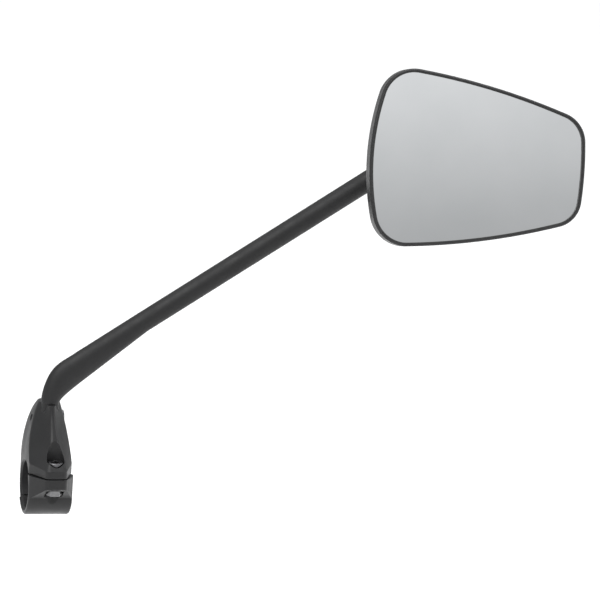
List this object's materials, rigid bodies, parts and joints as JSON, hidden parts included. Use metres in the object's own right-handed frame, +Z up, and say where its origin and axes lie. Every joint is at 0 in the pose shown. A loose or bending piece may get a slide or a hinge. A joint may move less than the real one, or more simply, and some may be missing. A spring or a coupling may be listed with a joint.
{
  "type": "bicycle mirror",
  "caption": "Handlebar mirror: a hinged bar clamp, a bent arm that swivels in it, and a convex mirror in a rounded four-sided housing on a ball joint.",
  "frame": {"origin": "centre of the handlebar bore, halfway along the clamp", "axes": "+X along the handlebar towards the mirror head, -Y towards the rider, +Z up along the axis of the arm's stem"},
  "size_m": [0.2474, 0.0555, 0.218],
  "materials": {
    "moulded_nylon": "fine matt moulding",
    "arm_nylon": "matt, fine grain",
    "housing_plastic": "satin",
    "carrier_plastic": "plain",
    "cup_plastic": "smooth acetal",
    "black_steel": "black oxide",
    "bright_steel": "zinc plated",
    "steel_pin": "ground",
    "spring_steel": "plain",
    "adhesive_foam": "foam tape",
    "mirror_glass": "polished, convex",
    "gasket_rubber": "matt"
  },
  "bodies": {
    "clamp": {"clamp_body": "moulded_nylon", "swivel_screw": "black_steel", "swivel_washer": "black_steel"},
    "jaw": {"clamp_jaw": "moulded_nylon", "hinge_pin": "steel_pin"},
    "screw": {"clamp_screw": "black_steel", "clamp_washer": "black_steel"},
    "nut": {"clamp_nut": "bright_steel"},
    "arm": {"arm": "arm_nylon"},
    "stud": {"ball_stud": "bright_steel", "stud_washer": "bright_steel", "stud_nut": "bright_steel"},
    "cup": {"ball_cup": "cup_plastic"},
    "head": {"pressure_cup": "cup_plastic", "tension_spring": "spring_steel", "retainer_plate": "spring_steel", "retainer_screws": "bright_steel", "housing": "housing_plastic", "glass_carrier": "carrier_plastic", "adhesive_pad": "adhesive_foam", "mirror_glass": "mirror_glass", "rim_gasket": "gasket_rubber"}
  },
  "joints": [
    {"name": "arm_swivel", "type": "hinge", "parent": "clamp", "child": "arm", "pos_m": [0, 0, 0.03], "axis": [0, 0, 1], "continuous": true},
    {"name": "head_roll", "type": "hinge", "parent": "arm", "child": "stud", "pos_m": [0.1684, -0.015, 0.163], "axis": [0, 1, 0], "range_deg": [-20, 20]},
    {"name": "head_pan", "type": "hinge", "parent": "stud", "child": "cup", "pos_m": [0.1684, -0.015, 0.163], "axis": [0, 0, 1], "range_deg": [-18, 18]},
    {"name": "head_tilt", "type": "hinge", "parent": "cup", "child": "head", "pos_m": [0.1684, -0.015, 0.163], "axis": [1, 0, 0], "range_deg": [-8, 37]},
    {"name": "clamp_screw_turn", "type": "hinge", "parent": "clamp", "child": "screw", "pos_m": [0.0008, -0.017, 0.0121], "axis": [0, 0, 1], "range_deg": [0, 720]},
    {"name": "nut_travel", "type": "slide", "parent": "clamp", "child": "nut", "axis": [0, 0, -1], "range_m": [0, 0.0015]},
    {"name": "jaw_open", "type": "hinge", "parent": "clamp", "child": "jaw", "pos_m": [0, 0.0108, -0.0108], "axis": [1, 0, 0], "range_deg": [0, 3]}
  ],
  "couplings": [
    {"joint": "nut_travel", "follows": "clamp_screw_turn", "m_per_rad": 0.00011141},
    {"joint": "jaw_open", "follows": "clamp_screw_turn", "ratio": 0.0035256}
  ]
}
